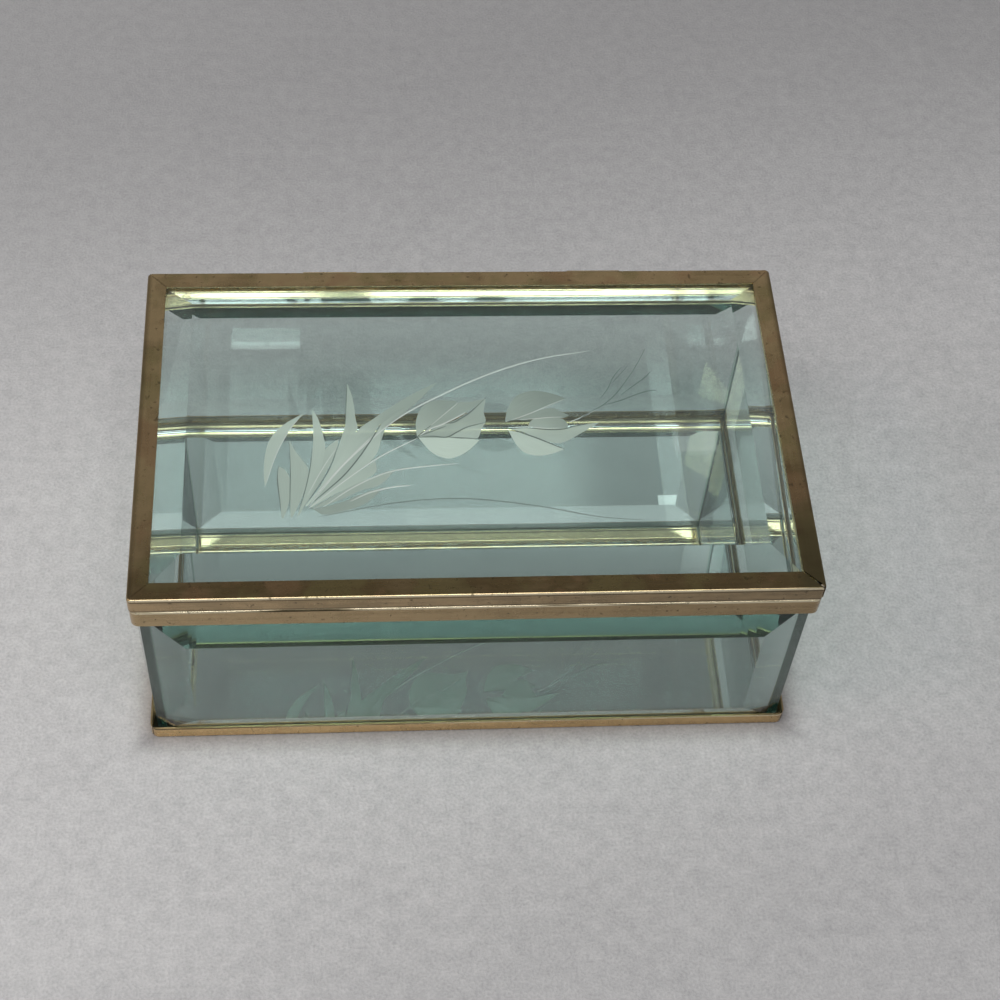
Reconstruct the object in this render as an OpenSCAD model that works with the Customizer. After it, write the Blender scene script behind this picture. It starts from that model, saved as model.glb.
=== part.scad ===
// Glass casket box: bevelled plate panes held in folded brass strip, with a mirror floor
// and a hinged lid. Millimetres, +Z up, front towards -Y.
// The origin is the middle of the underside, on the surface that the box stands on.

/* [Overall size] */
// Width across the brass frames, left to right
box_w = 165; // [120:1:240]
// Depth across the brass frames, front to back
box_d = 102.5; // [80:0.5:180]
// Height of the body, from the table to the top of its brass rim
body_h = 59.4; // [45:0.1:90]

/* [Brass strip] */
// Thickness of the sheet that the strip is folded from
strip_t = 0.45; // [0.3:0.01:0.6]
// Inside radius of the long folds in the strip
fold_in_r = 0.15; // [0.05:0.01:0.2]
// Width of the saw cut left open at each folded mitre
mitre_gap = 0.12; // [0.08:0.01:0.3]
// Width of the open joint where the two ends of a strip meet
joint_gap = 0.3; // [0.15:0.01:0.5]

/* [Base frame] */
// Height of the base strip
base_h = 4.5; // [3.5:0.1:6]
// Reach of the ledge under the mirror
base_ledge = 2; // [1:0.1:5]
// Radius of the base frame's upright corners
base_corner_r = 2; // [1:0.1:2.5]

/* [Rim frame] */
// Height of the rim strip
rim_h = 5.6; // [4.8:0.1:8]
// Depth of the bedding between the panes and the rim
bedding_depth = 2.8; // [1.5:0.1:3.2]
// Radius of the rim frame's upright corners
rim_corner_r = 2; // [1:0.1:2.5]

/* [Lid frame] */
// Width of the lid strip, seen from above
lid_w = 5; // [4:0.1:6]
// Gap between the lid glass and the tip of the strip's upper flange
lid_tip_gap = 0.46; // [0.1:0.01:0.8]
// Radius of the lid frame's upright corners
lid_corner_r = 1.2; // [0.9:0.1:2]
// Seam between the rim and the closed lid
lid_seam = 0.1; // [0.05:0.01:0.3]
// Width at the corner of the lid strip's open joint, which gapes outwards
lid_joint_open = 0.75; // [0.5:0.01:1]

/* [Bevelled glass] */
// Full thickness of the plate
glass_t = 6; // [5:0.1:8]
// Thickness left at the edge of the bevel
edge_t = 2.75; // [2:0.05:3.5]
// Width of the bevel, seen square on
bevel_w = 10.5; // [8:0.1:16]
// Play between a pane and the strip that it stands in
pane_play = 0.05; // [0.02:0.01:0.1]
// Gap between a pane's bevel and the outer lip of its strip
lip_gap = 0.16; // [0.1:0.01:0.5]
// Play between the side panes and the front and back panes
corner_play = 0.1; // [0.05:0.01:0.3]
// Space between the edge of the lid glass and the lid strip
lid_glass_gap = 1.2; // [0.8:0.05:1.8]

/* [Mirror floor] */
// Thickness of the mirror glass
mirror_t = 1.6; // [1:0.1:3]
// Thickness of the silvering and its paint
silver_t = 0.1; // [0.05:0.01:0.3]
// Play between the mirror and the base frame
mirror_play = 0.1; // [0.05:0.01:0.4]

/* [Hinges] */
// Distance of each hinge from the middle of the back
hinge_x = 35; // [20:1:50]
// Width of each hinge
hinge_w = 14; // [10:0.5:24]
// Outside radius of the rolled knuckles
knuckle_r = 1.4; // [1.2:0.05:1.8]
// Width of each of the two outer knuckles
outer_knuckle_w = 4; // [2.5:0.1:4.5]
// Radius of the hinge pin
pin_r = 0.6; // [0.4:0.05:0.8]
// Running clearance around the pin
pin_play = 0.05; // [0.02:0.01:0.09]
// Gap between neighbouring knuckles
knuckle_gap = 0.15; // [0.1:0.01:0.4]
// Gap between the knuckles and the backs of the frames
knuckle_stand_off = 0.35; // [0.3:0.01:0.5]
// Clearance between a knuckle and the plate of the other leaf
knuckle_clear = 0.2; // [0.15:0.01:0.4]
// Thickness of the hinge leaves
leaf_t = 0.5; // [0.4:0.05:0.6]
// Strip left bare beyond the edge of each leaf
leaf_margin = 0.65; // [0.2:0.05:1.5]

/* [Solder and bedding] */
// Leg of the solder fillet inside each open joint
solder_leg = 1.6; // [1.4:0.1:2]
// Gap around a bead of bedding or solder
bead_gap = 0.05; // [0.02:0.01:0.1]
// Distance that a bead of bedding stops short of the next one or of the solder
bead_end = 0.8; // [0.2:0.1:5]

/* [Hidden] */

// Smoothness of round forms
$fn = 48;
// Overlap that lets one cut pass clean through
eps = 1;

brass = [0.72, 0.58, 0.36];
pale_brass = [0.78, 0.66, 0.42];
clear_glass = [0.58, 0.72, 0.68, 0.45];
mirror_clear = [0.75, 0.82, 0.82, 0.8];
mirror_back = [0.45, 0.42, 0.4];
solder_grey = [0.62, 0.62, 0.6];
bedding_grey = [0.8, 0.8, 0.76, 0.6];

// Levels of the panes and the rim, and how deep the panes stand in their strips
pane_z = strip_t + pane_play;
pane_top = body_h - strip_t - bedding_depth;
pane_h = pane_top - pane_z;
rim_z = body_h - rim_h;
seat_depth = max(base_h - pane_z, pane_top - rim_z);

// Thickness of the bevelled plate, a distance in from its edge
function plate_t(inward) = edge_t + (glass_t - edge_t) * inward / bevel_w;

// Width of the base and rim strips, which take a pane as thick as it is at the lip
wall_strip_w = 2 * strip_t + pane_play + plate_t(seat_depth) + lip_gap;
// Space between the thin edge of a wall pane and the outer leg of its strip
wall_edge_gap = wall_strip_w - 2 * strip_t - pane_play - edge_t;

// Planes of the wall panes: their inner faces stand against the inner legs of base and rim
wall_in_x = box_w / 2 - wall_strip_w + strip_t + pane_play;
wall_in_y = box_d / 2 - wall_strip_w + strip_t + pane_play;
front_pane_w = 2 * (wall_in_x + edge_t);
side_pane_w = 2 * (wall_in_y - corner_play);

// The lid: its strip is as high as the plate inside its flanges
lid_h = 2 * strip_t + pane_play + plate_t(lid_w - strip_t - lid_glass_gap) + lid_tip_gap;
lid_z = body_h + lid_seam;
lid_glass_z = lid_z + strip_t + pane_play;
lid_glass_w = box_w - 2 * (strip_t + lid_glass_gap);
lid_glass_d = box_d - 2 * (strip_t + lid_glass_gap);

// Signs of X and Y at the corners where the strips' open joints are
front_right = [1, -1];
back_left = [-1, 1];

// The hinge axis runs level with the seam, behind the frames
hinge_z = body_h + lid_seam / 2;
hinge_off = knuckle_r + knuckle_stand_off;
hinge_y = box_d / 2 + hinge_off;
bore_r = pin_r + pin_play;
lid_knuckle_w = hinge_w - 2 * (outer_knuckle_w + knuckle_gap);
// Leaf plates start clear of the other leaf's knuckles and end short of the strip's edge
leaf_start = sqrt(max(0, pow(knuckle_r + knuckle_clear, 2) - pow(hinge_off - leaf_t, 2)));
leaf_h = min(lid_h, rim_h) + lid_seam / 2 - leaf_start - leaf_margin;

// Section of a strip folded into a U that opens downwards.
// x runs in from the outer face, y runs up.
module u_section(width, height) {
    difference() {
        round_top(width, height, fold_in_r + strip_t);
        translate([strip_t, -eps])
            round_top(width - 2 * strip_t, height - strip_t + eps, fold_in_r);
    }
}

// A rectangle with its two top corners rounded
module round_top(width, height, r) {
    square([width, height - r]);
    translate([r, 0]) square([width - 2 * r, height]);
    for (x = [r, width - r])
        translate([x, height - r]) circle(r);
}

// Base strip: opens upwards, and its web runs on as a ledge under the mirror
module base_section() {
    translate([0, base_h]) mirror([0, 1]) u_section(wall_strip_w, base_h);
    translate([wall_strip_w / 2, 0]) square([wall_strip_w / 2 + base_ledge, strip_t]);
}

// Rim strip: opens downwards over the panes
module rim_section() {
    u_section(wall_strip_w, rim_h);
}

// Lid strip: opens inwards round the lid glass
module lid_section() {
    translate([lid_w, 0]) rotate(90) u_section(lid_h, lid_w);
}

// One straight side of a frame, its flanges cut to 45 degrees.
// The child is the section, and reach is how far it runs in from the outer face.
module mitred_side(length, reach, height, corner_r) {
    trim = mitre_gap / sqrt(2);
    intersection() {
        translate([corner_r - length / 2, 0, 0])
            rotate([90, 0, 90]) linear_extrude(length - 2 * corner_r) children();
        translate([0, 0, -eps]) linear_extrude(height + 2 * eps) polygon([
            [-(length / 2 + eps - trim), -eps],
            [length / 2 + eps - trim, -eps],
            [length / 2 - reach - eps - trim, reach + eps],
            [-(length / 2 - reach - eps - trim), reach + eps]
        ]);
    }
}

// The part of a strip that is bent round an upright corner, a quarter turn
module bent_corner(corner_r, height) {
    rotate_extrude(angle = 90) intersection() {
        translate([corner_r, 0]) mirror([1, 0]) children();
        square([corner_r, height]);
    }
}

// A whole frame: one strip folded round three corners, open at the fourth.
// joint holds the signs of the open corner's x and y. The joint is a wedge,
// joint_gap wide at the inner end and open_w wide at the corner.
module folded_frame(reach, height, corner_r, joint, open_w) {
    difference() {
        union() {
            for (turn = [0, 180]) rotate(turn) translate([0, -box_d / 2, 0])
                mitred_side(box_w, reach, height, corner_r) children();
            for (turn = [90, 270]) rotate(turn) translate([0, -box_w / 2, 0])
                mitred_side(box_d, reach, height, corner_r) children();
            for (corner = [[1, 1, 0], [-1, 1, 90], [-1, -1, 180], [1, -1, 270]])
                translate([corner[0] * (box_w / 2 - corner_r), corner[1] * (box_d / 2 - corner_r), 0])
                    rotate(corner[2]) bent_corner(corner_r, height) children();
        }
        translate([joint[0] * box_w / 2, joint[1] * box_d / 2, -eps])
            rotate(atan2(joint[1], joint[0])) linear_extrude(height + 2 * eps) polygon([
                [-reach * 2, -joint_gap / 2], [0, -open_w / 2], [eps, -open_w / 2],
                [eps, open_w / 2], [0, open_w / 2], [-reach * 2, joint_gap / 2]
            ]);
    }
}

// Solder run up the inside of an open joint, bridging the strip's two ends.
// gap is the free space between the strip and the glass, which limits the fillet.
module joint_solder(corner_r, low, high, joint, gap) {
    leg = min(solder_leg, 2 * gap - 3 * bead_gap);
    inner_r = corner_r - strip_t;
    inset = strip_t + bead_gap / 2;
    color(solder_grey)
        translate([joint[0] * (box_w / 2 - inset), joint[1] * (box_d / 2 - inset), low])
            mirror([joint[0] < 0 ? 1 : 0, 0]) mirror([0, joint[1] < 0 ? 1 : 0])
                linear_extrude(high - low) intersection() {
                    polygon([[0, -leg], [0, 0], [-leg, 0]]);
                    corner_fill(inner_r, leg + inner_r);
                }
}

// The inside of a rounded corner, whose two sides end at the origin
module corner_fill(r, reach) {
    translate([-r, -r]) circle(r);
    translate([-reach, -reach]) square([reach, reach - r]);
    translate([-reach, -reach]) square([reach - r, reach]);
}

// Plate with a flat back at z = 0 and a wide bevel ground on all four front edges
module bevelled_pane(length, width) {
    intersection() {
        rotate([90, 0, 0]) linear_extrude(width, center = true) bevel_section(length);
        rotate([90, 0, 90]) linear_extrude(length, center = true) bevel_section(width);
    }
}

// Cross-section of the bevelled plate
module bevel_section(span) {
    polygon([
        [-span / 2, 0], [span / 2, 0], [span / 2, edge_t],
        [span / 2 - bevel_w, glass_t], [bevel_w - span / 2, glass_t], [-span / 2, edge_t]
    ]);
}

// A wall pane stood upright at the front, its bevelled face outwards
module standing_pane(width, in_y) {
    color(clear_glass) translate([0, -in_y, pane_z + pane_h / 2])
        rotate([90, 0, 0]) bevelled_pane(width, pane_h);
}

// Four straight beads of bedding, which stop short of one another and of the solder
module beads(inset, width, low, high) {
    end = max(inset + width, strip_t + bead_gap + solder_leg) + bead_end;
    for (turn = [0, 180]) rotate(turn)
        translate([end - box_w / 2, inset - box_d / 2, low])
            cube([box_w - 2 * end, width, high - low]);
    for (turn = [90, 270]) rotate(turn)
        translate([end - box_d / 2, inset - box_w / 2, low])
            cube([box_d - 2 * end, width, high - low]);
}

// One hinge leaf in section, about the hinge axis: a plate on the back of the frame
// and a curl that joins it to the knuckle. The body's leaf hangs down, the lid's is its mirror.
module leaf_plate_section() {
    translate([-hinge_off, -leaf_start - leaf_h]) square([leaf_t, leaf_h]);
}

module leaf_curl_section() {
    curl_w = hinge_off - bore_r - leaf_t / 2;
    difference() {
        union() {
            circle(knuckle_r);
            translate([-hinge_off, -leaf_start - leaf_t]) square([curl_w, leaf_start + leaf_t / 2]);
        }
        circle(bore_r);
    }
}

// Extrudes a hinge section along X between two places on the hinge axis
module along_hinge(x_from, x_to) {
    translate([x_from, hinge_y, hinge_z]) rotate([90, 0, 90]) linear_extrude(x_to - x_from)
        children();
}

module hinge_body_leaf(side) {
    x = side * hinge_x;
    color(pale_brass) {
        along_hinge(x - hinge_w / 2, x + hinge_w / 2) leaf_plate_section();
        along_hinge(x - hinge_w / 2, x - hinge_w / 2 + outer_knuckle_w) leaf_curl_section();
        along_hinge(x + hinge_w / 2 - outer_knuckle_w, x + hinge_w / 2) leaf_curl_section();
    }
}

module hinge_lid_leaf(side) {
    x = side * hinge_x;
    color(pale_brass) {
        along_hinge(x - hinge_w / 2, x + hinge_w / 2) mirror([0, 1]) leaf_plate_section();
        along_hinge(x - lid_knuckle_w / 2, x + lid_knuckle_w / 2) mirror([0, 1]) leaf_curl_section();
    }
}

module hinge_pin(side) {
    color(brass) translate([side * hinge_x, hinge_y, hinge_z]) rotate([0, 90, 0])
        cylinder(h = hinge_w, r = pin_r, center = true);
}

// Base
module base_frame() {
    color(brass)
        folded_frame(wall_strip_w + base_ledge, base_h, base_corner_r, back_left, joint_gap)
            base_section();
}

module base_joint_solder() {
    joint_solder(base_corner_r, strip_t + bead_gap, base_h - strip_t, back_left, wall_edge_gap);
}

module mirror_plate(low, thick) {
    w = box_w - 2 * (wall_strip_w + mirror_play);
    d = box_d - 2 * (wall_strip_w + mirror_play);
    translate([-w / 2, -d / 2, low]) cube([w, d, thick]);
}

module mirror_silvering() {
    color(mirror_back) mirror_plate(strip_t, silver_t);
}

module mirror_glass() {
    color(mirror_clear) mirror_plate(strip_t + silver_t, mirror_t);
}

// Walls
module front_pane() {
    standing_pane(front_pane_w, wall_in_y);
}

module back_pane() {
    rotate(180) standing_pane(front_pane_w, wall_in_y);
}

module left_pane() {
    rotate(-90) standing_pane(side_pane_w, wall_in_x);
}

module right_pane() {
    rotate(90) standing_pane(side_pane_w, wall_in_x);
}

// Rim
module rim_frame() {
    color(brass) translate([0, 0, rim_z])
        folded_frame(wall_strip_w, rim_h, rim_corner_r, back_left, joint_gap) rim_section();
}

module rim_joint_solder() {
    joint_solder(rim_corner_r, rim_z + strip_t, body_h - strip_t - bead_gap, back_left, wall_edge_gap);
}

module rim_bedding() {
    inset = strip_t + bead_gap;
    color(bedding_grey)
        beads(inset, wall_strip_w - 2 * inset, pane_top + bead_gap, body_h - inset);
}

// Lid
module lid_frame() {
    color(brass) translate([0, 0, lid_z])
        folded_frame(lid_w, lid_h, lid_corner_r, front_right, lid_joint_open) lid_section();
}

module lid_joint_solder() {
    inset = strip_t + bead_gap;
    joint_solder(lid_corner_r, lid_z + inset, lid_z + lid_h - inset, front_right, lid_glass_gap);
}

module lid_glass() {
    color(clear_glass) translate([0, 0, lid_glass_z]) bevelled_pane(lid_glass_w, lid_glass_d);
}

module lid_bedding() {
    color(bedding_grey)
        beads(strip_t + bead_gap, lid_glass_gap - 2 * bead_gap, lid_glass_z, lid_glass_z + edge_t);
}

base_frame();
base_joint_solder();
mirror_glass();
mirror_silvering();
front_pane();
back_pane();
left_pane();
right_pane();
rim_frame();
rim_joint_solder();
rim_bedding();
lid_frame();
lid_joint_solder();
lid_glass();
lid_bedding();
hinge_body_leaf(-1);  // left_hinge_body_leaf
hinge_lid_leaf(-1);  // left_hinge_lid_leaf
hinge_pin(-1);  // left_hinge_pin
hinge_body_leaf(1);  // right_hinge_body_leaf
hinge_lid_leaf(1);  // right_hinge_lid_leaf
hinge_pin(1);  // right_hinge_pin
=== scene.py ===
"""The looks of the glass casket box: brass, bevelled plate, mirror floor and wheel-cut lid."""
import math

import bpy
import numpy as np
from mathutils import Matrix, Vector


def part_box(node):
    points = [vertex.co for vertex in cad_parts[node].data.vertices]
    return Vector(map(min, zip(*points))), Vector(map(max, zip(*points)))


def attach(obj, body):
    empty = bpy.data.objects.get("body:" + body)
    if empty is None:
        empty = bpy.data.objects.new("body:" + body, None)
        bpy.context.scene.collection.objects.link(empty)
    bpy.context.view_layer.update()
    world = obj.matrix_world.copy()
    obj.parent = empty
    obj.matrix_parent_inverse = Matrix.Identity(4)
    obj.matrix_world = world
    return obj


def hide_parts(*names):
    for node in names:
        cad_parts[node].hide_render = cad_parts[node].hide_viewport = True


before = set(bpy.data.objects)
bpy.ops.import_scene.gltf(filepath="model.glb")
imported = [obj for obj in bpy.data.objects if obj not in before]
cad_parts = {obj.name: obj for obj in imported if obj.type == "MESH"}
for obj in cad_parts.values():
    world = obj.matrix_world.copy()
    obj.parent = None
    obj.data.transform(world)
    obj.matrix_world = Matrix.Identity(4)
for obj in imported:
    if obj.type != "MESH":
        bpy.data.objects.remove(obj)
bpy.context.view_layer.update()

# The photograph's viewpoint, in metres and degrees, from the middle of the box's underside
CAMERA_PLACE = (-0.02861, -0.29784, 0.44426)
CAMERA_AZIMUTH = -7.188
CAMERA_ELEVATION = 53.964
CAMERA_ROLL = 4.971
LENS_MM = 69.55
SENSOR_MM = 36.0

MM = 0.001


class Value:
    """A shader socket that Python's operators work on. Each operator adds its Math node."""

    def __init__(self, graph, socket):
        self.graph = graph
        self.socket = socket

    def maths(self, operation, first, second):
        return self.graph.node("ShaderNodeMath", {"operation": operation}, {0: first, 1: second})

    def __add__(self, other):
        return self.maths("ADD", self, other)

    def __sub__(self, other):
        return self.maths("SUBTRACT", self, other)

    def __rsub__(self, other):
        return self.maths("SUBTRACT", other, self)

    def __mul__(self, other):
        return self.maths("MULTIPLY", self, other)

    def __truediv__(self, other):
        return self.maths("DIVIDE", self, other)

    def most(self, other):
        return self.maths("MAXIMUM", self, other)

    def size(self):
        return self.maths("ABSOLUTE", self, 0.0)

    __radd__ = __add__
    __rmul__ = __mul__


class Graph:
    """The nodes of one material or of the world."""

    def __init__(self, owner):
        owner.use_nodes = True
        self.tree = owner.node_tree
        self.tree.nodes.clear()

    def node(self, kind, settings=None, inputs=None, output=0):
        """Adds a node: its settings first, then its sockets' values or links. Returns one output."""
        made = self.tree.nodes.new(kind)
        for name, value in (settings or {}).items():
            setattr(made, name, value)
        for name, value in (inputs or {}).items():
            if isinstance(value, Value):
                self.tree.links.new(value.socket, made.inputs[name])
            else:
                made.inputs[name].default_value = value
        return Value(self, made.outputs[output])

    def place(self, turn=(0, 0, 0), stretch=(1, 1, 1)):
        """Object coordinates, turned and stretched."""
        here = self.node("ShaderNodeTexCoord", output="Object")
        return self.node("ShaderNodeMapping", None, {"Vector": here, "Rotation": turn, "Scale": stretch})

    def axes(self, where, names="XYZ"):
        """The named parts of a vector."""
        return [self.node("ShaderNodeSeparateXYZ", None, {"Vector": where}, axis) for axis in names]

    def noise(self, where, scale, detail=3.0, rough=0.55):
        return self.node("ShaderNodeTexNoise", None,
                         {"Vector": where, "Scale": scale, "Detail": detail, "Roughness": rough})

    def step(self, value, low, high, at_low=0.0, at_high=1.0):
        """Runs smoothly from at_low to at_high while value goes from low to high."""
        return self.node("ShaderNodeMapRange", {"interpolation_type": "SMOOTHSTEP"},
                         {"Value": value, "From Min": low, "From Max": high,
                          "To Min": at_low, "To Max": at_high})

    def mix(self, share, first, second):
        """A colour between two colours."""
        return self.node("ShaderNodeMix", {"data_type": "RGBA"}, {0: share, 6: first, 7: second}, 2)

    def bump(self, height, distance, strength=1.0, normal=None):
        sockets = {"Height": height, "Distance": distance, "Strength": strength}
        if normal is not None:
            sockets["Normal"] = normal
        return self.node("ShaderNodeBump", None, sockets)

    def surface(self, shader, volume=None):
        sockets = {"Surface": shader}
        if volume is not None:
            sockets["Volume"] = volume
        self.end("ShaderNodeOutputMaterial", sockets)

    def end(self, kind, inputs):
        """Adds an output node and links its sockets."""
        made = self.tree.nodes.new(kind)
        for name, value in inputs.items():
            self.tree.links.new(value.socket, made.inputs[name])


def rgb(red, green, blue):
    """A linear colour with full alpha."""
    return (red, green, blue, 1.0)


def material(name):
    """A new material and the graph of its nodes."""
    made = bpy.data.materials.new(name)
    return made, Graph(made)


# Half the width and depth of the box, and how far in the folded strips reach, in metres
HALF_X = 82.5 * MM
HALF_Y = 51.25 * MM
STRIP_IN = 4.9 * MM
# Heights on the strips, above the box's underside
BASE_BEDDING = 1.8 * MM
BASE_SEAM = 4.1 * MM
BASE_LIP = 4.5 * MM
RIM_CREASE = 54.65 * MM
RIM_HAZE_TOP = 56.5 * MM
RIM_SEAM = 59.15 * MM
LID_SEAM = 59.75 * MM
LID_LEDGE = 60.3 * MM
LID_FACE = 64.6 * MM
LID_ARRIS = 64.7 * MM
# Bright clean brass for inside the box, its brightness on the inner legs also a painted highlight; brass
# rubbed bright along its edges, partly a painted highlight, and the painted highlights at seams; tarnish;
# dark grime and painted shade
CLEAN_BRASS = rgb(0.98, 0.83, 0.52)
RUBBED_AND_HIGHLIGHT = rgb(0.98, 0.88, 0.64)
OLIVE_TARNISH = rgb(0.3, 0.25, 0.11)
COPPER_TARNISH = rgb(0.4, 0.24, 0.13)
GRIME_AND_SHADE = rgb(0.035, 0.033, 0.022)
# A pale painted haze of light in the rim's back channel, and old bedding left in the base's channel
RIM_PAINTED_HAZE = rgb(0.9, 0.94, 0.88)
BASE_BED = rgb(0.26, 0.27, 0.25)


class FoldedBrass:
    """Rolled brass sheet under old lacquer, a material made up one feature at a time. It holds where a
    point lies on the folded strips, and the colour, the grime and painted shade, and the metal so far.
    The strips on the sides are those where |x| - HALF_X is more than |y| - HALF_Y, and streaks run along
    every strip."""

    def __init__(self, name, outer, worn_and_shaded, roughness, turn):
        self.made, g = material(name)
        self.g = g
        self.outer = outer
        self.roughness = roughness
        self.turn = turn
        self.here = g.node("ShaderNodeTexCoord", output="Object")
        self.x, self.y, self.z = g.axes(self.here)
        self.out_x = self.x.size() - HALF_X
        self.out_y = self.y.size() - HALF_Y
        self.depth = self.out_x.most(self.out_y)
        self.on_side = g.step(self.out_x - self.out_y, -0.2 * MM, 0.2 * MM)
        self.inside = g.step(self.depth, -STRIP_IN, -STRIP_IN + 0.1 * MM, 1.0, 0.0)
        streak_x = g.noise(g.place(turn, (25.0, 800.0, 800.0)), 1.0, 3.0)
        streak_y = g.noise(g.place(turn, (800.0, 25.0, 800.0)), 1.0, 3.0)
        self.streak = streak_x + (streak_y - streak_x) * self.on_side
        self.clouds = g.noise(g.place(turn), 110.0, 4.0, 0.65)
        self.wear = g.step(self.streak * 0.45 + self.clouds * 0.55, 0.4, 0.64)
        self.specks = g.step(g.noise(self.here, 700.0, 3.0, 0.6), 0.62, 0.7)
        # Painted shade: every strip darkens towards +x, for light that falls from the left, on top of its
        # wear
        self.colour = g.mix(self.wear * 0.5 + g.step(self.x, -HALF_X, HALF_X, 0.0, 0.6), outer, worn_and_shaded)
        self.grime_and_shade = self.specks * 0.55
        self.metal = 1.0

    def handled_top(self, level, ledge, pale, brown):
        """The face above a height: browner towards the front where it is handled, with patches of
        olive and copper tarnish, and stained by the right front corner and along the sides' outer
        edges. The ledge in the channel, up to another height, stays clean."""
        g, x, y = self.g, self.x, self.y
        above = g.step(self.z, level - 0.3 * MM, level)
        handled = g.step(y - x * 0.15, -56.0 * MM, -1.0 * MM, 0.85, 0.0)
        patches = g.step(g.noise(g.place(self.turn), 55.0, 3.0, 0.5), 0.4, 0.62)
        tarnish = g.step(g.noise(g.place(self.turn, (30.0, 90.0, 90.0)), 1.0, 4.0, 0.7), 0.42, 0.66)
        handled = handled + self.wear * 0.35 + patches * 0.35 + tarnish * 0.35 - 0.2
        tint = g.noise(g.place(self.turn), 75.0, 3.0, 0.6)
        face = g.mix(g.step(tint, 0.5, 0.62, 0.0, 0.5), g.mix(handled, pale, brown), OLIVE_TARNISH)
        face = g.mix(g.step(tint, 0.36, 0.46, 0.45, 0.0), face, COPPER_TARNISH)
        self.colour = g.mix(above, self.colour, face)
        below = g.step(self.z, ledge, ledge + 0.3 * MM, 1.0, 0.0)
        in_channel = below * g.step(self.depth, -0.6 * MM, -0.5 * MM, 1.0, 0.0)
        self.colour = g.mix(in_channel, self.colour, CLEAN_BRASS)
        self.inside = self.inside * (1 - above)
        grasped = g.step(x, 74.0 * MM, 79.0 * MM) * g.step(y, -42.0 * MM, -15.0 * MM, 0.6, 0.0)
        edges = self.on_side * g.step(self.depth, -1.7 * MM, -0.2 * MM, 0.0, 0.5)
        self.grime_and_shade = self.grime_and_shade.most(above * grasped.most(edges))

    def seam(self, height):
        """A thin dark line of painted shade, for the gap at a seam, along the outer face at a height, broken
        by bright flecks that are painted highlights, and a fainter dark line of painted shade half a
        millimetre above it."""
        g = self.g
        outside = g.step(self.depth, -0.6 * MM, -0.4 * MM)
        near = g.step((self.z - height).size(), 0.15 * MM, 0.35 * MM, 1.0, 0.0) * outside
        lip_glints = g.step(self.streak + self.x * 1.2, 0.36, 0.5)
        self.grime_and_shade = self.grime_and_shade.most(near * (1 - lip_glints) * 0.9)
        over = g.step((self.z - height - 0.5 * MM).size(), 0.08 * MM, 0.2 * MM, 0.6, 0.0)
        self.grime_and_shade = self.grime_and_shade.most(over * outside)
        self.colour = g.mix(near * lip_glints * 0.8, self.colour, RUBBED_AND_HIGHLIGHT)

    def arris_wear_and_highlight(self, height):
        """The outer arris at a height, rubbed bright and brightened further as a painted highlight, less so
        on the sides, over a dark line of painted shade.
        """
        g = self.g
        at_height = g.step(self.z, height - 0.6 * MM, height - 0.3 * MM)
        rubbed = g.step(self.depth, -0.4 * MM, -0.1 * MM) * at_height
        rubbed = rubbed * (1 - self.on_side * 0.8)
        self.colour = g.mix(rubbed * (0.95 - self.specks * 0.5), self.colour, RUBBED_AND_HIGHLIGHT)
        under = g.step((self.z - height + 0.85 * MM).size(), 0.1 * MM, 0.25 * MM, 0.7, 0.0)
        under = under * g.step(self.depth, -0.3 * MM, -0.1 * MM)
        self.grime_and_shade = (self.grime_and_shade * (1 - rubbed * 0.7)).most(under)

    def clean_highlit_legs(self):
        """The legs inside the box stay clean, and their bright colour is also a painted highlight for light
        caught by their curved faces.
        """
        self.grime_and_shade = self.grime_and_shade * (1 - self.inside)
        clean = self.g.mix(self.wear * 0.15, CLEAN_BRASS, self.outer)
        self.colour = self.g.mix(self.inside, self.colour, clean)

    def dark_lip(self, height):
        """The last millimetre of the inner leg, below its edge at a height, is dark."""
        upper = self.g.step(self.z, height - 1.35 * MM, height - 1.0 * MM)
        self.grime_and_shade = self.grime_and_shade.most(self.inside * upper * 0.9)

    def crease_shade(self, height):
        """A dark line of painted shade runs along the inner leg at a height."""
        line = self.g.step((self.z - height).size(), 0.3 * MM, 0.5 * MM, 0.92, 0.0)
        self.grime_and_shade = self.grime_and_shade.most(self.inside * line)

    def cover_metal(self, share, colour):
        """A colour that hides the metal: bedding, and the painted haze of light in the rim's back channel.
        """
        self.colour = self.g.mix(share, self.colour, colour)
        self.metal = 1 - share

    def painted_back_haze(self, height):
        """A pale painted haze of light in the channel behind the back leg, below a height."""
        g = self.g
        hidden = g.step(self.depth, -0.43 * MM, -0.38 * MM, 1.0, 0.0) * (1 - self.inside)
        at_back = g.step(self.y, 41.0 * MM, 42.0 * MM)
        self.cover_metal(hidden * at_back * g.step(self.z, height, height + 0.5 * MM, 1.0, 0.0), RIM_PAINTED_HAZE)

    def channel_bedding_and_shade(self, height):
        """Grey bedding in the channel below a height, and painted shade above it and in the corners."""
        g = self.g
        hidden = g.step(self.depth, -0.5 * MM, -0.43 * MM, 1.0, 0.0) * (1 - self.inside)
        hidden = hidden * g.step(self.z, 0.3 * MM, 0.4 * MM)
        corner = g.step(self.out_x, -9.0 * MM, -6.0 * MM) * g.step(self.out_y, -9.0 * MM, -6.0 * MM)
        self.grime_and_shade = self.grime_and_shade.most(hidden * g.step(self.z, height, height + 1.0 * MM) * 0.85)
        self.grime_and_shade = self.grime_and_shade.most(hidden * corner)
        below = g.step(self.z, height, height + 1.0 * MM, 1.0, 0.0)
        self.cover_metal(hidden * below * (1 - corner), BASE_BED)

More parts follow.
